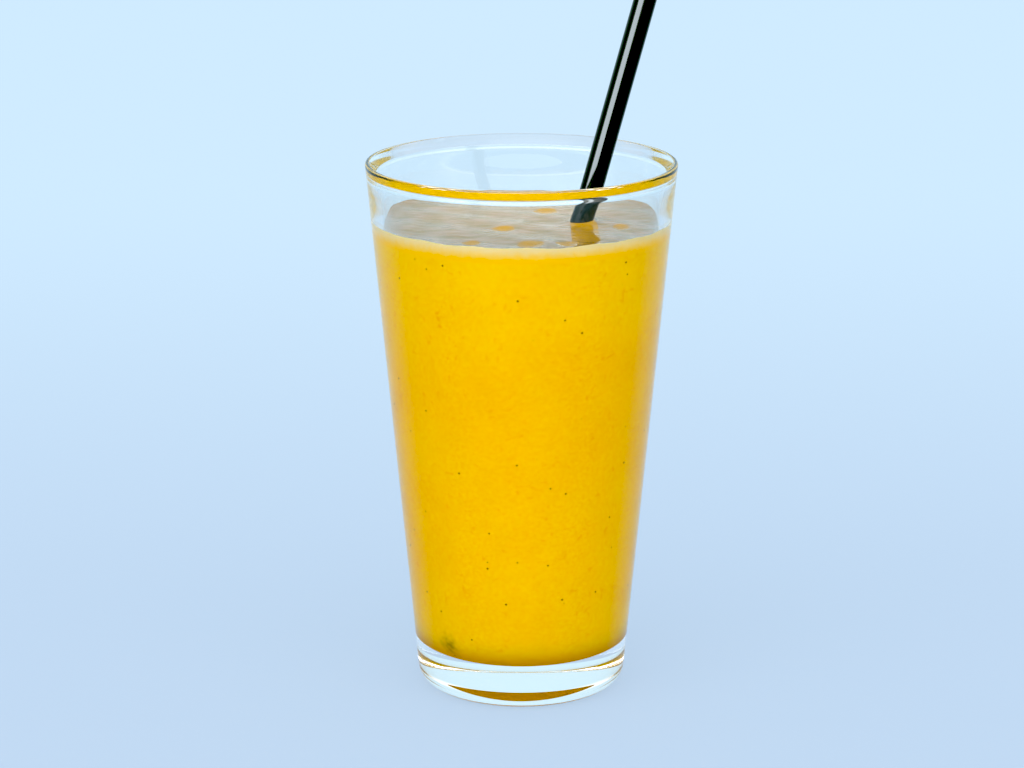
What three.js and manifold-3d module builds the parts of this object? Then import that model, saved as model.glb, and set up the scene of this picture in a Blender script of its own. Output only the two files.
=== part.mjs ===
// A mango smoothie in its glass: a heavy-based conical tumbler, the blended drink in it,
// the thin froth that floats on the drink, and a black drinking straw that stands in both.
// Millimetres, +Z up. The origin is the centre of the glass's flat underside, and -Y is the front.
import * as THREE from 'three';
import { mergeVertices } from 'three/addons/utils/BufferGeometryUtils.js';
import Module from 'manifold-3d';

const wasm = await Module();
wasm.setup();

// Space kept between pieces that touch
const gap = 0.3;

// Glass: the two radii are those of the outer cone, carried on to the brim's and the foot's height
const glassHeight = 153;
const brimRadius = 44;
const footRadius = 29.4;
const wallAtBrim = 3;
const lipRounding = 0.7;
const bevelSlope = (52 * Math.PI) / 180;
const bevelRounding = 0.5;
const heelRounding = 6;
const baseThickness = 11.6;
const wallAtFloor = 4.6;
const floorRounding = 10;

// Drink and froth: the level is the froth's mean height
const levelHeight = 136.3;
const frothDepth = 4;
const swellHeight = 0.25;
const swellLength = 21;

// Straw: where its centre line crosses the level, how far it leans for each mm of height, and its tube
const strawAtLevel = { x: 16.58, y: -9.2 };
const strawLean = { x: 0.2763, y: 0.048 };
const strawFootHeight = 18.6;
const strawLength = 210;
const strawRadius = 3.15;
const strawWall = 0.35;

// Hollows in the froth, where it is thin: centre, half widths across and along the view, and depth
const frothHollows = [
  { x: 6.8, y: 8.5, halfX: 4.6, halfY: 6.6, depth: 0.8 },
  { x: -4.9, y: -14.8, halfX: 4.6, halfY: 3.8, depth: 0.7 },
  { x: -13.5, y: -29.9, halfX: 3.6, halfY: 5, depth: 0.7 },
  { x: 2.1, y: -31.2, halfX: 5.2, halfY: 5, depth: 0.8 },
  { x: 12.1, y: -30.6, halfX: 4, halfY: 4.6, depth: 0.7 },
  { x: 27.5, y: -12, halfX: 3.2, halfY: 3.8, depth: 0.6 },
];

// Facets
const roundSides = 72;
const arcSteps = 6;
const frothRings = 15;
const strawSides = 24;

const taper = (brimRadius - footRadius) / glassHeight;

function outerRadius(height) {
  return footRadius + taper * height;
}

// The inner wall is a straight line from the floor's edge to the brim's height.
const innerAtFloor = outerRadius(baseThickness) - wallAtFloor;
const innerAtBrim = outerRadius(glassHeight) - wallAtBrim;
const innerTaper = (innerAtBrim - innerAtFloor) / (glassHeight - baseThickness);

function innerRadius(height) {
  return innerAtFloor + innerTaper * (height - baseThickness);
}

// Points on an arc round a centre, from one angle to another, both counted from the outward direction.
function arc(centreRadius, centreHeight, radius, fromAngle, toAngle) {
  const points = [];
  for (let i = 0; i <= arcSteps; i += 1) {
    const angle = fromAngle + ((toAngle - fromAngle) * i) / arcSteps;
    points.push(new THREE.Vector2(
      centreRadius + radius * Math.cos(angle),
      centreHeight + radius * Math.sin(angle),
    ));
  }
  return points;
}

// A rounding between a flat bottom at a height and a wall that leans outwards above it.
function bottomRounding(wallRadius, wallTaper, height, rounding) {
  const centreHeight = height + rounding;
  const centreRadius = wallRadius(centreHeight) - rounding * Math.hypot(1, wallTaper);
  return arc(centreRadius, centreHeight, rounding, -Math.PI / 2, -Math.atan(wallTaper));
}

// A body of revolution about Z. Its profile runs anticlockwise, from the axis to the axis.
function turned(profile) {
  return new THREE.LatheGeometry(profile, roundSides).rotateX(Math.PI / 2);
}

// The bare closed surface: shared corners are joined, and triangles that shrink to nothing
// on the axis are dropped.
function closedSurface(geometry) {
  const bare = new THREE.BufferGeometry();
  bare.setAttribute('position', geometry.getAttribute('position').clone());
  bare.setIndex(geometry.getIndex());
  const merged = mergeVertices(bare);
  const corners = merged.getIndex().array;
  const kept = [];
  for (let i = 0; i < corners.length; i += 3) {
    const [a, b, c] = [corners[i], corners[i + 1], corners[i + 2]];
    if (a !== b && b !== c && c !== a) {
      kept.push(a, b, c);
    }
  }
  merged.setIndex(kept);
  return merged;
}

function toSolid(geometry) {
  const surface = closedSurface(geometry);
  return new wasm.Manifold(new wasm.Mesh({
    numProp: 3,
    vertProperties: new Float32Array(surface.getAttribute('position').array),
    triVerts: new Uint32Array(surface.getIndex().array),
  }));
}

function toGeometry(solid) {
  const mesh = solid.getMesh();
  const geometry = new THREE.BufferGeometry();
  geometry.setAttribute('position', new THREE.BufferAttribute(mesh.vertProperties, 3));
  geometry.setIndex(new THREE.BufferAttribute(mesh.triVerts, 1));
  geometry.computeVertexNormals();
  return geometry;
}

// The brim: a small rounding on top of the outer wall, a bevel that slopes down inwards, and a small
// rounding into the inner wall, whose centre is as far from the bevel as from the wall.
function brimProfile() {
  const bevelAngle = Math.PI / 2 + bevelSlope;
  const topHeight = glassHeight - lipRounding;
  const topRadius = outerRadius(topHeight) - lipRounding * Math.hypot(1, taper);
  const upper = arc(topRadius, topHeight, lipRounding, -Math.atan(taper), bevelAngle);
  const outward = new THREE.Vector2(Math.cos(bevelAngle), Math.sin(bevelAngle));
  const along = new THREE.Vector2(-outward.y, outward.x);
  const centre = upper[arcSteps].clone().addScaledVector(outward, -bevelRounding);
  const toWall = innerRadius(centre.y) + bevelRounding * Math.hypot(1, innerTaper) - centre.x;
  centre.addScaledVector(along, toWall / (along.x - innerTaper * along.y));
  const wallAngle = Math.PI - Math.atan(innerTaper);
  return [...upper, ...arc(centre.x, centre.y, bevelRounding, bevelAngle, wallAngle)];
}

function tumblerGeometry() {
  const profile = [
    new THREE.Vector2(0, 0),
    ...bottomRounding(outerRadius, taper, 0, heelRounding),
    ...brimProfile(),
    ...bottomRounding(innerRadius, innerTaper, baseThickness, floorRounding).reverse(),
    new THREE.Vector2(0, baseThickness),
  ];
  return closedSurface(turned(profile));
}

// A straight round tube along its own +Z, from startAt to endAt, both measured from the straw's foot.
function tubeGeometry(tubeRadius, boreRadius, startAt, endAt) {
  const section = new THREE.Shape().absarc(0, 0, tubeRadius, 0, 2 * Math.PI);
  section.holes.push(new THREE.Path().absarc(0, 0, boreRadius, 0, 2 * Math.PI));
  const tube = new THREE.ExtrudeGeometry(section, {
    depth: endAt - startAt,
    bevelEnabled: false,
    curveSegments: strawSides,
  });
  return tube.translate(0, 0, startAt);
}

function placeOnStrawLine(object) {
  const drop = strawFootHeight - levelHeight;
  object.position.set(
    strawAtLevel.x + strawLean.x * drop,
    strawAtLevel.y + strawLean.y * drop,
    strawFootHeight,
  );
  const direction = new THREE.Vector3(strawLean.x, strawLean.y, 1).normalize();
  object.quaternion.setFromUnitVectors(new THREE.Vector3(0, 0, 1), direction);
  object.updateMatrix();
  return object;
}

// A straight round rod on the same line, as thick as the straw with a gap all round.
function rodGeometry() {
  const radius = strawRadius + gap;
  const rod = new THREE.CylinderGeometry(radius, radius, strawLength, strawSides);
  return rod.rotateX(Math.PI / 2).translate(0, 0, strawLength / 2);
}

function onStrawLine(geometry) {
  return geometry.applyMatrix4(placeOnStrawLine(new THREE.Object3D()).matrix);
}

// The drink fills the glass up to the underside of the froth. It stands inside the straw too.
function smoothieGeometry() {
  const topHeight = levelHeight - frothDepth - gap;
  const sideRadius = (height) => innerRadius(height) - gap;
  const profile = [
    new THREE.Vector2(0, baseThickness + gap),
    ...bottomRounding(sideRadius, innerTaper, baseThickness + gap, floorRounding - gap),
    new THREE.Vector2(sideRadius(topHeight), topHeight),
    new THREE.Vector2(0, topHeight),
  ];
  const boreRadius = strawRadius - strawWall - gap;
  const tubeRoom = tubeGeometry(strawRadius + gap, boreRadius, -gap, strawLength);
  return toGeometry(toSolid(turned(profile)).subtract(toSolid(onStrawLine(tubeRoom))));
}

// Slow swells across the froth, less each hollow's own smooth dent.
function frothRelief(x, y) {
  const turnsX = (2 * Math.PI * (x + 0.4 * y)) / swellLength;
  const turnsY = (2 * Math.PI * (y - 0.3 * x)) / swellLength;
  let relief = swellHeight * Math.sin(turnsX) * Math.cos(turnsY);
  for (const hollow of frothHollows) {
    const reach = Math.hypot((x - hollow.x) / hollow.halfX, (y - hollow.y) / hollow.halfY);
    if (reach < 1) {
      relief -= hollow.depth * Math.cos((reach * Math.PI) / 2) ** 2;
    }
  }
  return relief;
}

// A disc as deep as the froth, with its upper face in rings that follow the relief.
function frothGeometry() {
  const underside = levelHeight - frothDepth;
  const edgeRadius = innerRadius(levelHeight) - gap;
  const profile = [
    new THREE.Vector2(0, underside),
    new THREE.Vector2(innerRadius(underside) - gap, underside),
  ];
  for (let ring = frothRings; ring >= 0; ring -= 1) {
    profile.push(new THREE.Vector2((edgeRadius * ring) / frothRings, levelHeight));
  }
  const disc = closedSurface(turned(profile));
  const corners = disc.getAttribute('position');
  for (let i = 0; i < corners.count; i += 1) {
    if (corners.getZ(i) > levelHeight - frothDepth / 2) {
      corners.setZ(i, levelHeight + frothRelief(corners.getX(i), corners.getY(i)));
    }
  }
  return toGeometry(toSolid(disc).subtract(toSolid(onStrawLine(rodGeometry()))));
}

function material(color, roughness, metalness) {
  return new THREE.MeshStandardMaterial({ color, roughness, metalness });
}

function named(name, geometry, surface) {
  const mesh = new THREE.Mesh(geometry, surface);
  mesh.name = name;
  return mesh;
}

const clearGlass = material('#dcebf2', 0.03, 0);
clearGlass.transparent = true;
clearGlass.opacity = 0.3;

const drinkInGlass = new THREE.Group();
drinkInGlass.add(named('glass', tumblerGeometry(), clearGlass));
drinkInGlass.add(named('smoothie', smoothieGeometry(), material('#f6b902', 0.35, 0)));
drinkInGlass.add(named('froth', frothGeometry(), material('#d9bd7a', 0.3, 0)));
drinkInGlass.add(placeOnStrawLine(named(
  'straw',
  closedSurface(tubeGeometry(strawRadius, strawRadius - strawWall, 0, strawLength)),
  material('#0b0b0c', 0.15, 0),
)));

export default drinkInGlass;
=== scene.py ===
import math

import bpy
import numpy as np
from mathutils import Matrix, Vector


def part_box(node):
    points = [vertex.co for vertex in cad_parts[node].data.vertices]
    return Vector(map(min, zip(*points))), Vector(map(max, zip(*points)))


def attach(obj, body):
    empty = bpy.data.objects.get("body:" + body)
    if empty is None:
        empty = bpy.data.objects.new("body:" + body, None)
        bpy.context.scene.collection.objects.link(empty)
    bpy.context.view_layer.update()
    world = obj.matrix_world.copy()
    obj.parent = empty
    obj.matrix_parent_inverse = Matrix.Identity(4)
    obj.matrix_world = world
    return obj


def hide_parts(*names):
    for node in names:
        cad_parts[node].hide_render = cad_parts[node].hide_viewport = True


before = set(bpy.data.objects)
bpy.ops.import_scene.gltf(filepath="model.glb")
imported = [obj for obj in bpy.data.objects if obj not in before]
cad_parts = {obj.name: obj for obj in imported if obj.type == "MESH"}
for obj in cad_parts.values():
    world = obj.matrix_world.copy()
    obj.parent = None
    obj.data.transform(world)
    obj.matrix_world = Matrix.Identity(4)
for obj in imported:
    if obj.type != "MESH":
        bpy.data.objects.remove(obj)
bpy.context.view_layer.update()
mm = 0.001
print("frame loaded:", sorted(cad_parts))


def linearColour(code):  # "#rrggbb" in sRGB to linear light, with alpha 1
    parts = np.array([int(code[i:i + 2], 16) for i in (1, 3, 5)]) / 255
    linear = np.where(parts <= 0.04045, parts / 12.92, ((parts + 0.055) / 1.055) ** 2.4)
    return (*[float(v) for v in linear], 1.0)


# Adds a node with its settings: its own properties by name, then its sockets by name or number.
# A socket takes a value, or is linked to the output that it is given.
def addNode(tree, kind, settings=None):
    node = tree.nodes.new(kind)
    for key, value in (settings or {}).items():
        if isinstance(key, str) and hasattr(node, key):
            setattr(node, key, value)
        elif isinstance(value, bpy.types.NodeSocket):
            tree.links.new(value, node.inputs[key])
        else:
            node.inputs[key].default_value = value
    return node


def newMaterial(name):  # an empty node tree with its output
    material = bpy.data.materials.new(name)
    material.use_nodes = True
    material.node_tree.nodes.clear()
    output = material.node_tree.nodes.new("ShaderNodeOutputMaterial")
    return material, material.node_tree, output


# Joins rows of a closed ring each into quads. rings: (rows, columns, 3) in mm.
# A pole at an end is one point that closes the first or the last ring.
def ringMesh(name, rings, startPole=None, endPole=None, closeRows=False):
    rows, columns, _ = rings.shape
    points = rings.reshape(-1, 3)
    row = np.arange(rows if closeRows else rows - 1)[:, None]
    column = np.arange(columns)[None, :]
    nextColumn = (column + 1) % columns
    nextRow = (row + 1) % rows
    quads = np.stack([row * columns + column, row * columns + nextColumn,
                      nextRow * columns + nextColumn, nextRow * columns + column], -1).reshape(-1, 4)
    loops = [quads.ravel()]
    sizes = [np.full(len(quads), 4)]
    for pole, base, order in ((startPole, 0, -1), (endPole, (rows - 1) * columns, 1)):
        if pole is None:
            continue
        points = np.vstack([points, pole])
        around = base + np.arange(columns)
        following = base + (np.arange(columns) + 1) % columns
        fan = np.stack([around, following, np.full(columns, len(points) - 1)][::order], -1)
        loops.append(fan.ravel())
        sizes.append(np.full(columns, 3))
    return meshFromArrays(name, points * mm, np.concatenate(loops), np.concatenate(sizes))


def meshFromArrays(name, points, loops, sizes):  # points in metres; loops and sizes describe the faces
    mesh = bpy.data.meshes.new(name)
    mesh.vertices.add(len(points))
    mesh.vertices.foreach_set("co", points.astype(np.float32).ravel())
    mesh.loops.add(len(loops))
    mesh.loops.foreach_set("vertex_index", loops.astype(np.int32))
    mesh.polygons.add(len(sizes))
    starts = np.concatenate([[0], np.cumsum(sizes)[:-1]])
    mesh.polygons.foreach_set("loop_start", starts.astype(np.int32))
    mesh.polygons.foreach_set("use_smooth", np.ones(len(sizes), bool))
    mesh.update(calc_edges=True)
    mesh.validate()
    piece = bpy.data.objects.new(name, mesh)
    bpy.context.scene.collection.objects.link(piece)
    return piece


# Arc of a circle in the (radius, height) plane: centre + size * (cos, sin) of an evenly stepped angle.
def arcPoints(centre, size, fromAngle, toAngle, steps):
    angle = np.linspace(fromAngle, toAngle, steps)
    return np.stack([centre[0] + size * np.cos(angle), centre[1] + size * np.sin(angle)], -1)


def linePoints(start, end, steps):  # evenly stepped, without its two ends
    share = np.linspace(0, 1, steps + 2)[1:-1, None]
    return np.array(start) * (1 - share) + np.array(end) * share


def turnedRings(profile, columns):  # a (radius, height) profile carried round the Z axis, one ring per point
    angle = np.arange(columns) / columns * 2 * math.pi
    radius, height = profile[:, 0, None], profile[:, 1, None]
    return np.stack([radius * np.cos(angle), radius * np.sin(angle), height + 0 * angle], -1)


# Glass: the same lines and roundings as the solid, in mm, with far more steps. The underside has a
# recess of its own, so that the glass stands on a narrow ring, and the inner wall has a slight waist.
tumbler = {
    "brimRadius": 44.0, "footRadius": 29.4, "wallAtBrim": 3.0,
    "lipRounding": 0.7, "bevelSlope": 52.0, "bevelRounding": 0.5,  # the brim slopes down inwards
    "waistDepth": 0.37, "waistReach": (1.4, 12.4),  # the wall is thinner this far below the bevel
    "heelRounding": 5.87, "heelEdge": 77.5, "edgeRounding": 0.6,  # angle of the heel's edge in degrees
    "baseThickness": 11.6, "wallAtFloor": 4.6, "floorRounding": 10.0,
    "recessRadius": 25.0, "recessDepth": 3.0, "recessSharpness": 7.0,
    "wallCrowding": 1.8, "recessCrowding": 0.6,  # how far the points crowd to the brim and to the heel
    "columns": 288,
}
tumblerSteps = {
    "recess": 50, "heelEdge": 9, "heel": 28, "outerWall": 40, "lip": 24, "bevel": 6, "lipInside": 16,
    "innerWall": 110, "floorEdge": 40, "floor": 12,
}
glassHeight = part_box("glass")[1].z / mm
taper = (tumbler["brimRadius"] - tumbler["footRadius"]) / glassHeight
slant = math.hypot(1, taper)


def outerRadius(height):  # straight line from the foot to the brim
    return tumbler["footRadius"] + taper * height


innerAtFloor = outerRadius(tumbler["baseThickness"]) - tumbler["wallAtFloor"]
innerAtBrim = tumbler["brimRadius"] - tumbler["wallAtBrim"]
innerTaper = (innerAtBrim - innerAtFloor) / (glassHeight - tumbler["baseThickness"])


def innerRadius(height):  # straight line from the floor's edge to the brim's height
    return innerAtFloor + innerTaper * (height - tumbler["baseThickness"])


# Quarter-like arc between a flat bottom at a height and the leaning wall above it.
def bottomRounding(wallRadius, wallTaper, height, rounding, steps):
    middle = height + rounding
    centre = (wallRadius(middle) - rounding * math.hypot(1, wallTaper), middle)
    return arcPoints(centre, rounding, -math.pi / 2, -math.atan(wallTaper), steps)


def smoothStep(share):  # 0 to 1 with a level start and end
    share = np.clip(share, 0, 1)
    return share * share * (3 - 2 * share)


# Heel: a small arc up from the table to the heel edge's angle, then a large one that meets the wall.
def heelPoints():
    turn = math.radians(tumbler["heelEdge"])
    large, small = tumbler["heelRounding"], tumbler["edgeRounding"]
    height = small + (large - small) * math.sin(turn)
    radius = outerRadius(height) - large * slant
    edge = (radius + (large - small) * math.cos(turn), small)
    return np.vstack([
        arcPoints(edge, small, -math.pi / 2, -turn, tumblerSteps["heelEdge"])[:-1],
        arcPoints((radius, height), large, -turn, -math.atan(taper), tumblerSteps["heel"]),
    ])


# Recess under the base: depth * (1 - (radius / full radius) ** sharpness), flat in the middle.
def recessPoints():
    share = np.linspace(0, 1, tumblerSteps["recess"] + 1)[1:] ** tumbler["recessCrowding"]
    rise = tumbler["recessDepth"] * (1 - share ** tumbler["recessSharpness"])
    return np.stack([tumbler["recessRadius"] * share, rise], -1)


# Brim: a small arc on top of the outer wall, a bevel that slopes down inwards, and a small arc into
# the inner wall. The second arc's centre lies where lines offset from the bevel and the wall cross.
def brimPoints():
    slope = math.radians(tumbler["bevelSlope"])
    top, low = tumbler["lipRounding"], tumbler["bevelRounding"]
    centre = (outerRadius(glassHeight - top) - top * slant, glassHeight - top)
    upper = arcPoints(centre, top, -math.atan(taper), math.pi / 2 + slope, tumblerSteps["lip"])
    along = np.array([-math.cos(slope), -math.sin(slope)])
    outward = np.array([-math.sin(slope), math.cos(slope)])
    start = upper[-1] - low * outward
    reach = ((innerRadius(start[1]) + low * math.hypot(1, innerTaper) - start[0])
             / (along[0] - innerTaper * along[1]))
    lower = arcPoints(start + reach * along, low, math.pi / 2 + slope,
                      math.pi - math.atan(innerTaper), tumblerSteps["lipInside"])
    return np.vstack([upper, linePoints(upper[-1], lower[0], tumblerSteps["bevel"]), lower])


# Inner wall from the brim down to the floor's rounding, with a shallow waist just below the bevel.
# Its points stand closer together near the brim: way down = whole way * share ** crowding.
def innerWallPoints(brimEnd, floorEdge):
    share = np.linspace(0, 1, tumblerSteps["innerWall"] + 2)[1:-1]
    below = (brimEnd[1] - floorEdge[1]) * share ** tumbler["wallCrowding"]
    height = brimEnd[1] - below
    start, end = tumbler["waistReach"]
    waist = smoothStep(below / start) * (1 - smoothStep((below - start) / (end - start)))
    return np.stack([innerRadius(height) + tumbler["waistDepth"] * waist, height], -1)


def makeTumbler():
    heel = heelPoints()
    brim = brimPoints()
    floor = bottomRounding(innerRadius, innerTaper, tumbler["baseThickness"],
                           tumbler["floorRounding"], tumblerSteps["floorEdge"])[::-1]
    profile = np.vstack([
        recessPoints(), heel, linePoints(heel[-1], brim[0], tumblerSteps["outerWall"]), brim,
        innerWallPoints(brim[-1], floor[0]), floor,
        linePoints(floor[-1], (0, tumbler["baseThickness"]), tumblerSteps["floor"]),
    ])
    return ringMesh("tumbler", turnedRings(profile, tumbler["columns"]),
                    startPole=(0, 0, tumbler["recessDepth"]),
                    endPole=(0, 0, tumbler["baseThickness"]))


# Soda-lime glass, pressed and fire-polished: clear, with sharp refraction and no grain.
def clearSodaGlass():
    material, tree, output = newMaterial("clearSodaGlass")
    shader = addNode(tree, "ShaderNodeBsdfPrincipled", {
        "Base Color": linearColour("#fbfefd"), "Roughness": 0.0, "IOR": 1.52,
        "Transmission Weight": 1.0,
    })
    tree.links.new(shader.outputs["BSDF"], output.inputs["Surface"])
    return material


def dress(piece, material, node):  # finish a piece that stands for one of the solids
    piece.data.materials.append(material)
    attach(piece, "root")
    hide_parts(node)


glass = makeTumbler()
dress(glass, clearSodaGlass(), "glass")
print("glass made")

# Straw: its line and its tube, in mm, as in the solid
straw = {
    "atLevel": (16.58, -9.2), "lean": (0.2763, 0.048), "footHeight": 18.6, "length": 210.0,
    "radius": 3.15, "wall": 0.35, "endRounding": 0.1, "columns": 96, "lengthSteps": 60, "endSteps": 5,
}
levelHeight = 136.3
strawDirection = np.array([*straw["lean"], 1.0])
strawStretch = float(np.linalg.norm(strawDirection))


def strawCentre(height):  # the straw's centre line at a height
    along = height - levelHeight
    return np.array([straw["atLevel"][0] + straw["lean"][0] * along,
                     straw["atLevel"][1] + straw["lean"][1] * along, height])


# Rings square to the straw's line: centre + radius * (across * cos + up * sin), moved along the line.
def makeStraw():
    line = strawDirection / strawStretch
    across = np.cross([0.0, 1.0, 0.0], line)
    across /= np.linalg.norm(across)
    up = np.cross(line, across)
    rounding, inner = straw["endRounding"], straw["radius"] - straw["wall"]
    outerEdge, innerEdge = straw["radius"] - rounding, inner + rounding
    low, high = rounding, straw["length"] - rounding
    quarter, steps = math.pi / 2, straw["endSteps"]
    profile = np.vstack([
        arcPoints((outerEdge, low), rounding, -quarter, 0, steps),
        linePoints((straw["radius"], low), (straw["radius"], high), straw["lengthSteps"]),
        arcPoints((outerEdge, high), rounding, 0, quarter, steps),
        arcPoints((innerEdge, high), rounding, quarter, 2 * quarter, steps),
        linePoints((inner, high), (inner, low), straw["lengthSteps"]),
        arcPoints((innerEdge, low), rounding, 2 * quarter, 3 * quarter, steps),
    ])
    angle = np.arange(straw["columns"]) / straw["columns"] * 2 * math.pi
    ring = across * np.cos(angle)[:, None] + up * np.sin(angle)[:, None]
    rings = (strawCentre(straw["footHeight"]) + profile[:, 0, None, None] * ring[None]
             + profile[:, 1, None, None] * line)
    return ringMesh("drinkingStraw", rings, closeRows=True)


def blackPolypropylene():  # extruded polypropylene: deep black, with a clean and nearly sharp gloss
    material, tree, output = newMaterial("blackPolypropylene")
    shader = addNode(tree, "ShaderNodeBsdfPrincipled", {
        "Base Color": linearColour("#050506"), "Roughness": 0.1, "IOR": 1.49,
    })
    tree.links.new(shader.outputs["BSDF"], output.inputs["Surface"])
    return material


drinkingStraw = makeStraw()
dress(drinkingStraw, blackPolypropylene(), "straw")
print("straw made")

# Drink: fills the glass, reaching a little into the wall so that no air shows between them, in mm.
# Where a pair of colours is given, the pulp's grain varies between them.
drink = {
    "intoWall": 0.03, "intoStraw": 0.03, "seam": 0.01, "frothDepth": 4.0, "holeAboveFoot": 1.2,
    "columns": 384, "edgeCrowding": 0.99,
    "grain": 1.0, "cloud": 16.0, "fibre": 2.4,
    "flesh": ("#f9c200", "#ffdc10"), "deepFlesh": ("#f2ab00", "#fdcd08"), "fibreColour": "#f09a00",
    "lowColour": "#f2a200", "frothColour": "#f3e0a8",
    "deepFrom": (121.0, 97.0), "orangeFrom": (18.0, 12.5),  # heights over which the colour changes
    "speckSpacing": 4.0, "speckShare": 0.35, "speckRadius": 0.36, "speckColour": "#7a4400",
    # the straw's tip shows as a painted shade where the drink over it is thin
    "tipFade": 1.7, "tipSmear": 1.6, "strawShadeColour": "#4a4200",  # thickness of drink that hides the straw
}
drinkSteps = {"floor": 10, "floorEdge": 40, "side": 80, "lid": 24, "hole": 40}


# A ring where the straw's outside cuts a level plane: an ellipse, longer along the lean.
def strawOutline(height, radius, columns):
    angle = np.arange(columns) / columns * 2 * math.pi
    lean = np.array(straw["lean"])
    leanSize = np.linalg.norm(lean)
    along = lean / leanSize
    side = np.array([-along[1], along[0]])
    turn = angle - math.atan2(along[1], along[0])
    flat = (along * (radius * strawStretch * np.cos(turn))[:, None]
            + side * (radius * np.sin(turn))[:, None])
    centre = strawCentre(height)
    return np.column_stack([centre[0] + flat[:, 0], centre[1] + flat[:, 1], np.full(columns, height)])


def strawClearance(points):  # distance of points from the straw's outside, negative inside it
    line = strawDirection / strawStretch
    away = points - strawCentre(straw["footHeight"])
    along = np.maximum(away @ line, 0)
    return np.linalg.norm(away - along[..., None] * line, axis=-1) - straw["radius"]


def wallRing(height, outward, columns):  # a ring at the glass's inner wall, moved outward by a little
    return turnedRings(np.array([[innerRadius(height) + outward, height]]), columns)[0]


# Rings between two rings, the ends included. crowding from 0 to 1 draws them closer to both ends:
# share of the way = t - crowding * sin(2 pi t) / (2 pi). Close rings keep an edge crisp.
def blendRings(start, end, steps, crowding=0.0):
    share = np.linspace(0, 1, steps)
    share = (share - crowding * np.sin(2 * math.pi * share) / (2 * math.pi))[:, None, None]
    return start[None] * (1 - share) + end[None] * share


def addAttribute(piece, name, values):  # one number for each corner point of the piece
    attribute = piece.data.attributes.new(name, "FLOAT", "POINT")
    attribute.data.foreach_set("value", values.astype(np.float32))


def cornerPoints(piece):  # all corner points in mm
    points = np.empty(len(piece.data.vertices) * 3, np.float32)
    piece.data.vertices.foreach_get("co", points)
    return points.reshape(-1, 3) / mm


def makeSmoothie():
    columns, into, seam = drink["columns"], drink["intoWall"], drink["seam"]
    top = levelHeight - drink["frothDepth"]
    floorHeight = tumbler["baseThickness"] - into
    fillet = bottomRounding(lambda height: innerRadius(height) + into, innerTaper, floorHeight,
                            tumbler["floorRounding"], drinkSteps["floorEdge"])
    profile = np.vstack([
        linePoints((0, floorHeight), fillet[0], drinkSteps["floor"]), fillet,
        linePoints(fillet[-1], (innerRadius(top) + into, top), drinkSteps["side"]),
        [(innerRadius(top - seam) + into, top - seam), (innerRadius(top) + into, top)],
    ])
    outside = turnedRings(profile, columns)
    strawSize = straw["radius"] - drink["intoStraw"]
    mouth = strawOutline(top, strawSize, columns)
    holeFoot = straw["footHeight"] + drink["holeAboveFoot"]
    foot = strawOutline(holeFoot, strawSize, columns)
    lid = blendRings(outside[-1], mouth, drinkSteps["lid"], crowding=drink["edgeCrowding"])[1:]
    hole = blendRings(mouth, foot, drinkSteps["hole"])[1:]
    piece = ringMesh("smoothieBody", np.vstack([outside, lid, hole]), startPole=(0, 0, floorHeight),
                     endPole=strawCentre(holeFoot))
    clearance = np.maximum(strawClearance(cornerPoints(piece)), 0)
    addAttribute(piece, "strawBehind", np.exp(-clearance / drink["tipFade"]))
    return piece


# Froth: thin foam on the drink, in mm; the swells and the hollows are those of the solid
froth = {
    "swellHeight": 0.25, "swellLength": 21.0, "wallRise": 0.5, "wallReach": 0.9,
    "strawRise": 1.3, "strawReach": 1.3, "strawTilt": 0.25,  # the rise is lower on the straw's left
    "rippleHeight": 0.05, "rippleLength": 2.6, "rippleBends": ((1.7, 0.31), (1.3, 0.43)),  # mm, per mm
    "topRows": 120,
    "hollows": [  # centre, half widths across and along the view, and depth
        (6.8, 8.5, 4.6, 6.6, 0.8), (-4.9, -14.8, 4.6, 3.8, 0.7), (-13.5, -29.9, 3.6, 5.0, 0.7),
        (2.1, -31.2, 5.2, 5.0, 0.8), (12.1, -30.6, 4.0, 4.6, 0.7), (27.5, -12.0, 3.2, 3.8, 0.6),
    ],
    "fade": (132.7, 137.0),  # heights between which the drink turns to froth
    "wake": {"left": 13.2, "right": 21.5, "near": -38.0, "edge": 1.0},
    "bareDepth": 0.45,  # a hollow this deep is bare of film
    "rowsAtSide": 24, "rowsInHole": 6, "topCrowding": 0.75,
    "film": ("#8b7850", "#a08a74"), "bareColour": "#a47b00", "sideColour": "#fdc900",
    "streakLength": 2.4, "streakStretch": 0.35, "raggedness": 1.6, "raggedLength": 1.8,
    "filmRoughness": 0.16, "bareRoughness": 0.04,
}


def hollowDepth(x, y):  # sum of the hollows, each depth * cos squared of its own reach
    total = np.zeros_like(x)
    for middleX, middleY, halfX, halfY, depth in froth["hollows"]:
        reach = np.minimum(np.hypot((x - middleX) / halfX, (y - middleY) / halfY), 1)
        total += depth * np.cos(reach * math.pi / 2) ** 2
    return total


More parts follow.
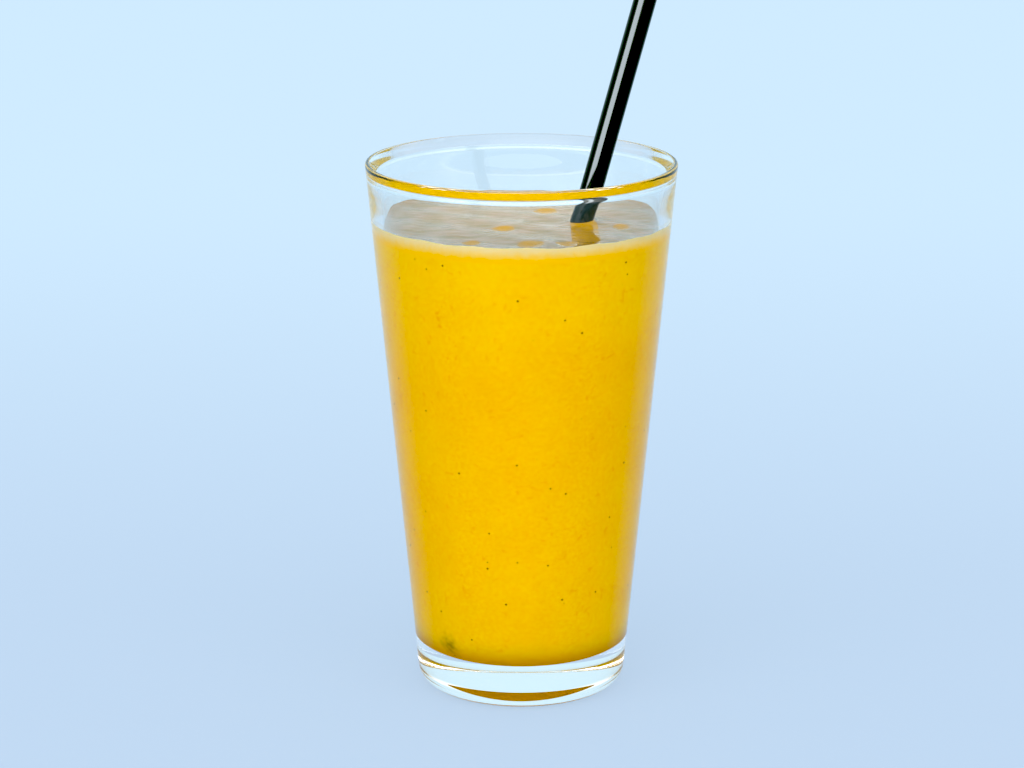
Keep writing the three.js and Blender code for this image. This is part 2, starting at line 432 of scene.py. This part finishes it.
# Height over the level: slow swells, less the hollows, with a small rise at the wall and at the straw.
def frothRelief(points):
    x, y = points[..., 0], points[..., 1]
    turnsX = 2 * math.pi * (x + 0.4 * y) / froth["swellLength"]
    turnsY = 2 * math.pi * (y - 0.3 * x) / froth["swellLength"]
    relief = froth["swellHeight"] * np.sin(turnsX) * np.cos(turnsY) - hollowDepth(x, y)
    (bendX, turnX), (bendY, turnY) = froth["rippleBends"]
    rippleX = 2 * math.pi * (x + bendX * np.sin(y * turnX)) / (4 * froth["rippleLength"])
    rippleY = 2 * math.pi * (y + bendY * np.sin(x * turnY)) / froth["rippleLength"]
    relief += froth["rippleHeight"] * np.sin(rippleY) * (0.6 + 0.4 * np.sin(rippleX))
    wallGap = innerRadius(levelHeight) - np.hypot(x, y)
    relief += froth["wallRise"] * np.exp(-np.maximum(wallGap, 0) / froth["wallReach"])
    strawGap = np.maximum(strawClearance(points), 0)
    sideways = np.clip((x - strawCentre(levelHeight)[0]) / straw["radius"], -1, 1)
    uneven = 1 - froth["strawTilt"] * (1 - sideways)
    return relief + froth["strawRise"] * uneven * np.exp(-strawGap / froth["strawReach"])


# A closed skin: up the wall, over the top, down the straw's hole and back along the underside.
# bare is 1 in the hollows and in the wake before the straw, where no film lies on the drink.
def makeFroth():
    columns, crowding = drink["columns"], drink["edgeCrowding"]
    underside = levelHeight - drink["frothDepth"]
    strawSize = straw["radius"] - drink["intoStraw"]
    wallTop = wallRing(levelHeight, drink["intoWall"], columns)
    wallLow = wallRing(underside, drink["intoWall"], columns)
    holeLow = strawOutline(underside, strawSize, columns)
    holeTop = strawOutline(levelHeight, strawSize, columns)
    top = blendRings(wallTop, holeTop, froth["topRows"], crowding=froth["topCrowding"])
    relief = frothRelief(top)
    nearStraw = np.exp(-np.maximum(strawClearance(top), 0) / froth["strawReach"])
    nearWall = np.exp(-np.maximum(innerRadius(levelHeight) - np.hypot(top[..., 0], top[..., 1]), 0))
    widen = 1 + nearWall * innerTaper * relief / innerRadius(levelHeight)
    top[..., 0] = top[..., 0] * widen + nearStraw * straw["lean"][0] * relief
    top[..., 1] = top[..., 1] * widen + nearStraw * straw["lean"][1] * relief
    top[..., 2] += relief
    side = blendRings(wallLow, top[0], froth["rowsAtSide"], crowding=crowding)[:-1]
    hole = blendRings(top[-1], holeLow, froth["rowsInHole"])[1:]
    under = blendRings(holeLow, wallLow, froth["rowsAtSide"], crowding=crowding)[1:-1]
    piece = ringMesh("frothLayer", np.vstack([side, top, hole, under]), closeRows=True)
    points = cornerPoints(piece)
    x, y = points[:, 0], points[:, 1]
    wake = froth["wake"]
    strawY = strawCentre(levelHeight)[1]
    inWake = 1.0
    for inside in (x - wake["left"], wake["right"] - x, y - wake["near"], strawY - y):
        inWake = inWake * smoothStep(inside / wake["edge"])
    bare = np.maximum(hollowDepth(x, y) / froth["bareDepth"], inWake)
    addAttribute(piece, "bare", np.clip(bare, 0, 1))
    onSide = np.arange(len(piece.data.polygons)) < len(side) * columns
    piece.data.polygons.foreach_set("material_index", onSide.astype(np.int32))
    return piece


def perMetre(size):  # the scale of a pattern whose features are a size in mm
    return 1 / (size * mm)


# The share of froth at a place, from 0 at the lower height of the fade to 1 at the upper one.
# The border is ragged: height + raggedness * (noise - 1/2).
def frothShare(tree, place):
    low, high = froth["fade"]
    centred = froth["raggedness"] / 2
    ragged = addNode(tree, "ShaderNodeTexNoise", {
        "Scale": perMetre(froth["raggedLength"]), "Detail": 3.0, "Vector": place}).outputs["Fac"]
    height = addNode(tree, "ShaderNodeSeparateXYZ", {"Vector": place}).outputs["Z"]
    moved = addNode(tree, "ShaderNodeMath", {
        "operation": "MULTIPLY_ADD", 0: ragged, 1: froth["raggedness"] * mm, 2: height}).outputs[0]
    return addNode(tree, "ShaderNodeMapRange", {
        "interpolation_type": "SMOOTHSTEP", "Value": moved, "From Min": (low + centred) * mm,
        "From Max": (high + centred) * mm}).outputs["Result"]


# The pulp: a fine grain in two tones, slightly deeper in slow clouds and lower in the glass, with
# strands of fibre, and more orange next to the floor.
def pulpColour(tree, place):
    pulp = addNode(tree, "ShaderNodeTexNoise", {
        "Scale": perMetre(drink["grain"]), "Detail": 4.0, "Roughness": 0.7, "Vector": place})
    cloud = addNode(tree, "ShaderNodeTexNoise", {
        "Scale": perMetre(drink["cloud"]), "Detail": 2.0, "Vector": place})
    grain = addNode(tree, "ShaderNodeMapRange", {
        "Value": pulp.outputs["Fac"], "From Min": 0.2, "From Max": 0.8}).outputs[0]
    clouded = addNode(tree, "ShaderNodeMapRange", {
        "Value": cloud.outputs["Fac"], "From Min": 0.3, "From Max": 0.7}).outputs[0]
    height = addNode(tree, "ShaderNodeSeparateXYZ", {"Vector": place}).outputs["Z"]
    deep, low = [addNode(tree, "ShaderNodeMapRange", {
        "interpolation_type": "SMOOTHSTEP", "Value": height, "From Min": start * mm,
        "From Max": end * mm, "To Max": most}).outputs["Result"]
        for (start, end), most in ((drink["deepFrom"], 0.35), (drink["orangeFrom"], 0.8))]
    deepened = addNode(tree, "ShaderNodeMath", {
        "operation": "MULTIPLY_ADD", 0: clouded, 1: 0.4, 2: deep}).outputs[0]
    strands = addNode(tree, "ShaderNodeTexNoise", {
        "Scale": perMetre(drink["fibre"]), "Detail": 3.0, "Distortion": 1.2, "Vector": place})
    strand = addNode(tree, "ShaderNodeMapRange", {
        "interpolation_type": "SMOOTHSTEP", "Value": strands.outputs["Fac"], "From Min": 0.6,
        "From Max": 0.75, "To Max": 0.45}).outputs["Result"]
    flesh, deepFlesh = [addNode(tree, "ShaderNodeMix", {
        "data_type": "RGBA", 0: grain, 6: linearColour(drink[tone][0]),
        7: linearColour(drink[tone][1])}).outputs[2] for tone in ("flesh", "deepFlesh")]
    colour = flesh
    for share, over in ((deepened, deepFlesh), (strand, linearColour(drink["fibreColour"])),
                        (low, linearColour(drink["lowColour"]))):
        colour = addNode(tree, "ShaderNodeMix", {
            "data_type": "RGBA", 0: share, 6: colour, 7: over}).outputs[2]
    return colour


# Dark specks: in a share of the cells of an uneven grid, a small soft ball round the cell's point.
def speckShare(tree, place):
    cells = addNode(tree, "ShaderNodeTexVoronoi", {
        "Scale": perMetre(drink["speckSpacing"]), "Vector": place})
    chance = addNode(tree, "ShaderNodeSeparateXYZ", {"Vector": cells.outputs["Color"]})
    picked = addNode(tree, "ShaderNodeMath", {
        "operation": "GREATER_THAN", 0: chance.outputs["X"], 1: 1 - drink["speckShare"]}).outputs[0]
    reach = drink["speckRadius"] / drink["speckSpacing"]
    near = addNode(tree, "ShaderNodeMapRange", {
        "interpolation_type": "SMOOTHSTEP", "Value": cells.outputs["Distance"], "From Min": reach,
        "From Max": 0.6 * reach}).outputs[0]
    return addNode(tree, "ShaderNodeMath", {"operation": "MULTIPLY", 0: picked, 1: near}).outputs[0]


# Painted shade of the black straw showing through a thin layer of drink: its nearness, unevenly smeared.
def strawShadow(tree, place):
    uneven = addNode(tree, "ShaderNodeTexNoise", {
        "Scale": perMetre(drink["tipSmear"]), "Detail": 2.0, "Vector": place}).outputs["Fac"]
    behind = addNode(tree, "ShaderNodeAttribute", {"attribute_name": "strawBehind"}).outputs["Fac"]
    raised = addNode(tree, "ShaderNodeMath", {"operation": "ADD", 0: uneven, 1: 0.35}).outputs[0]
    shown = addNode(tree, "ShaderNodeMath", {"operation": "MULTIPLY", 0: behind, 1: raised}).outputs[0]
    return addNode(tree, "ShaderNodeMapRange", {
        "interpolation_type": "SMOOTHSTEP", "Value": shown, "From Min": 0.12,
        "From Max": 0.8}).outputs[0]


# Puree of ripe mango: opaque, saturated yellow-orange, with fine fibre, a few dark specks and painted
# shade where the black straw shows through. It has no gloss of its own, since it lies against the glass.
def blendedMango():
    material, tree, output = newMaterial("blendedMango")
    place = addNode(tree, "ShaderNodeTexCoord").outputs["Object"]
    colour = pulpColour(tree, place)
    for share, over in ((speckShare(tree, place), drink["speckColour"]),
                        (frothShare(tree, place), drink["frothColour"]),
                        (strawShadow(tree, place), drink["strawShadeColour"])):
        colour = addNode(tree, "ShaderNodeMix", {
            "data_type": "RGBA", 0: share, 6: colour, 7: linearColour(over)}).outputs[2]
    shader = addNode(tree, "ShaderNodeBsdfPrincipled", {
        "Roughness": 0.6, "Specular IOR Level": 0.0, "Base Color": colour})
    tree.links.new(shader.outputs["BSDF"], output.inputs["Surface"])
    return material


# Foam of the puree: streaky beige where its film is whole, clear amber where it is bare, and wet. The
# bare places are glossier, and their edges follow the streaks.
def wetFroth():
    material, tree, output = newMaterial("wetFroth")
    place = addNode(tree, "ShaderNodeTexCoord").outputs["Object"]
    drawn = addNode(tree, "ShaderNodeMapping", {
        "Scale": (froth["streakStretch"], 1.0, 1.0), "Vector": place}).outputs[0]
    streaks = addNode(tree, "ShaderNodeTexNoise", {
        "Scale": perMetre(froth["streakLength"]), "Detail": 4.0, "Vector": drawn}).outputs["Fac"]
    streaky = addNode(tree, "ShaderNodeMapRange", {
        "Value": streaks, "From Min": 0.35, "From Max": 0.65}).outputs[0]
    film = addNode(tree, "ShaderNodeMix", {
        "data_type": "RGBA", 0: streaky, 6: linearColour(froth["film"][0]),
        7: linearColour(froth["film"][1])}).outputs[2]
    bare = addNode(tree, "ShaderNodeAttribute", {"attribute_name": "bare"}).outputs["Fac"]
    ragged = addNode(tree, "ShaderNodeMath", {
        "operation": "MULTIPLY_ADD", 0: streaky, 1: 0.9, 2: 0.5}).outputs[0]
    bared = addNode(tree, "ShaderNodeMath", {"operation": "MULTIPLY", 0: bare, 1: ragged}).outputs[0]
    thin = addNode(tree, "ShaderNodeMapRange", {
        "interpolation_type": "SMOOTHSTEP", "Value": bared, "From Min": 0.12,
        "From Max": 0.42}).outputs[0]
    colour = addNode(tree, "ShaderNodeMix", {
        "data_type": "RGBA", 0: thin, 6: film, 7: linearColour(froth["bareColour"])}).outputs[2]
    roughness = addNode(tree, "ShaderNodeMapRange", {
        "Value": thin, "To Min": froth["filmRoughness"], "To Max": froth["bareRoughness"]}).outputs[0]
    shader = addNode(tree, "ShaderNodeBsdfPrincipled", {
        "Roughness": roughness, "IOR": 1.36, "Base Color": colour})
    tree.links.new(shader.outputs["BSDF"], output.inputs["Surface"])
    return material


# The same foam seen through the wall: matte, since no air lies between, and fading into the drink.
def frothAgainstGlass():
    material, tree, output = newMaterial("frothAgainstGlass")
    place = addNode(tree, "ShaderNodeTexCoord").outputs["Object"]
    colour = addNode(tree, "ShaderNodeMix", {
        "data_type": "RGBA", 0: frothShare(tree, place), 6: linearColour(froth["sideColour"]),
        7: linearColour(drink["frothColour"])}).outputs[2]
    shader = addNode(tree, "ShaderNodeBsdfPrincipled", {
        "Roughness": 0.6, "Specular IOR Level": 0.0, "Base Color": colour})
    tree.links.new(shader.outputs["BSDF"], output.inputs["Surface"])
    return material


smoothieBody = makeSmoothie()
dress(smoothieBody, blendedMango(), "smoothie")
frothLayer = makeFroth()
dress(frothLayer, wetFroth(), "froth")
frothLayer.data.materials.append(frothAgainstGlass())
print("drink and froth made")

# Studio: pale paper, lit from below too, and soft light all round, in metres. The paper's glow and
# reflection are shares of its own colour. A rise is a pair of values of a direction's X, Y or Z,
# from -1 to 1, between which one light gives way to the next.
studio = {
    "floorSize": 12.0, "floorDrop": 0.00004, "glow": 0.85, "reflection": 0.12,
    # the near and far paper colours hold a painted light falloff, paler far off
    "nearShadedPaper": "#c0d6ee", "farLitPaper": "#cce5f9", "nearEdge": -0.05, "farEdge": 0.75,
    "backLow": (0.75, 0.97, 1.1, 1), "backHigh": (1.5, 1.5, 1.5, 1), "backRise": (0.42, 0.62),
    "frontLow": (0.75, 0.85, 0.95, 1), "frontHigh": (2.2, 2.05, 1.9, 1), "frontRise": (0.15, 0.4),
    "overhead": (1.15, 1.15, 1.15, 1), "overheadRise": (0.62, 0.8), "frontFrom": (0.0, -0.5),
    "backStrength": 1.0, "frontStrengths": (2.4, 1.8),  # in front, at the left and at the right
    "bounces": 32, "glossyBounces": 12, "blackLevel": (0.055, 0.055, 0.078),
}
strip = {
    "place": (-0.62, -0.78, 0.33), "target": (0, 0, 0.16), "size": (0.9, 0.62), "power": 22.0,
    "colour": "#eaf7ff",
}


# Backlit backdrop paper: matte and pale blue, with painted light that makes it paler far off, and a
# glow of its own so that the glass throws hardly any shadow.
def makeFloor():
    half = studio["floorSize"] / 2
    corners = np.array([[-half, -half], [half, -half], [half, half], [-half, half]])
    points = np.column_stack([corners, np.full(4, -studio["floorDrop"])])
    floor = meshFromArrays("studioFloor", points, np.arange(4), np.array([4]))
    material, tree, output = newMaterial("backlitBackdropPaper")
    place = addNode(tree, "ShaderNodeTexCoord").outputs["Object"]
    axes = addNode(tree, "ShaderNodeSeparateXYZ", {"Vector": place})
    # painted light falloff: the paper's colour grows paler from near to far
    away = addNode(tree, "ShaderNodeMapRange", {
        "interpolation_type": "SMOOTHSTEP", "Value": axes.outputs["Y"],
        "From Min": studio["nearEdge"], "From Max": studio["farEdge"]}).outputs[0]
    colour = addNode(tree, "ShaderNodeMix", {
        "data_type": "RGBA", 0: away, 6: linearColour(studio["nearShadedPaper"]),
        7: linearColour(studio["farLitPaper"])}).outputs[2]
    dim = addNode(tree, "ShaderNodeMix", {
        "data_type": "RGBA", 0: studio["reflection"], 6: (0, 0, 0, 1), 7: colour}).outputs[2]
    shader = addNode(tree, "ShaderNodeBsdfPrincipled", {
        "Roughness": 0.9, "Specular IOR Level": 0.0, "Base Color": dim,
        "Emission Color": colour, "Emission Strength": studio["glow"]})
    tree.links.new(shader.outputs["BSDF"], output.inputs["Surface"])
    floor.data.materials.append(material)


# Light from all round: pale blue low down, white from higher up, and strongest in front.
def makeWorld():
    world = bpy.data.worlds.new("studioWorld")
    world.use_nodes = True
    tree = world.node_tree
    tree.nodes.clear()
    output = tree.nodes.new("ShaderNodeOutputWorld")
    coordinates = addNode(tree, "ShaderNodeTexCoord").outputs["Generated"]
    direction = addNode(tree, "ShaderNodeSeparateXYZ", {"Vector": coordinates})
    frontHigh, backHigh, top, front, ahead = [addNode(tree, "ShaderNodeMapRange", {
        "interpolation_type": "SMOOTHSTEP", "Value": direction.outputs[axis], "From Min": start,
        "From Max": end, "To Min": least, "To Max": most}).outputs[0]
        for axis, (start, end), (least, most) in (
            ("Z", studio["frontRise"], (0.0, 1.0)), ("Z", studio["backRise"], (0.0, 1.0)),
            ("Z", studio["overheadRise"], (0.0, 1.0)), ("Y", studio["frontFrom"], (0.0, 1.0)),
            ("X", (-1.0, 1.0), studio["frontStrengths"]))]
    back = addNode(tree, "ShaderNodeMix", {
        "data_type": "RGBA", 0: backHigh, 6: studio["backLow"], 7: studio["backHigh"]}).outputs[2]
    near = addNode(tree, "ShaderNodeMix", {
        "data_type": "RGBA", 0: frontHigh, 6: studio["frontLow"], 7: studio["frontHigh"]}).outputs[2]
    walls = addNode(tree, "ShaderNodeMix", {"data_type": "RGBA", 0: front, 6: back, 7: near}).outputs[2]
    colour = addNode(tree, "ShaderNodeMix", {
        "data_type": "RGBA", 0: top, 6: walls, 7: studio["overhead"]}).outputs[2]
    strength = addNode(tree, "ShaderNodeMix", {
        "data_type": "FLOAT", 0: front, 2: studio["backStrength"], 3: ahead}).outputs[0]
    background = addNode(tree, "ShaderNodeBackground", {"Color": colour, "Strength": strength})
    tree.links.new(background.outputs["Background"], output.inputs["Surface"])
    bpy.context.scene.world = world


# A window-like strip in front, to the left: it gives the straw its stripe and lights nothing else.
def addStripLight():
    light = bpy.data.lights.new("stripSoftbox", "AREA")
    light.shape = "RECTANGLE"
    light.size, light.size_y = strip["size"]
    light.energy = strip["power"]
    light.color = linearColour(strip["colour"])[:3]
    lamp = bpy.data.objects.new("stripSoftbox", light)
    bpy.context.scene.collection.objects.link(lamp)
    lamp.location = strip["place"]
    facing = Vector(strip["target"]) - Vector(strip["place"])
    lamp.rotation_euler = facing.to_track_quat("-Z", "Y").to_euler()
    lamp.visible_camera = lamp.visible_diffuse = lamp.visible_transmission = False
    onlyStraw = bpy.data.collections.new("onlyStraw")
    onlyStraw.objects.link(drinkingStraw)
    lamp.light_linking.receiver_collection = onlyStraw


# Camera: the photo's own view, a long lens looking down on the drink, in metres and degrees
camera = {
    "distance": 0.925, "height": 0.331, "sideways": -0.00266, "pitch": 14.7,
    "focalPixels": 3350.0, "imageWidth": 1024, "sensorWidth": 36.0,
}


def makeCamera():
    data = bpy.data.cameras.new("photoCamera")
    data.sensor_width = camera["sensorWidth"]
    data.lens = camera["focalPixels"] / camera["imageWidth"] * data.sensor_width
    viewer = bpy.data.objects.new("photoCamera", data)
    bpy.context.scene.collection.objects.link(viewer)
    viewer.location = (camera["sideways"], -camera["distance"], camera["height"])
    viewer.rotation_euler = (math.radians(90 - camera["pitch"]), 0, 0)
    bpy.context.scene.camera = viewer


# The picture's own contrast: what is darker than the black level goes to black.
def setContrast():
    view = bpy.context.scene.view_settings
    view.view_transform = "Standard"
    view.use_curve_mapping = True
    view.curve_mapping.black_level = studio["blackLevel"]
    view.curve_mapping.update()


# Light may turn often enough inside the glass's rim and base for them not to go black.
def setBounces():
    cycles = bpy.context.scene.cycles
    cycles.max_bounces = cycles.transmission_bounces = studio["bounces"]
    cycles.glossy_bounces = studio["glossyBounces"]


makeFloor()
makeWorld()
addStripLight()
makeCamera()
setContrast()
setBounces()
print("studio made")
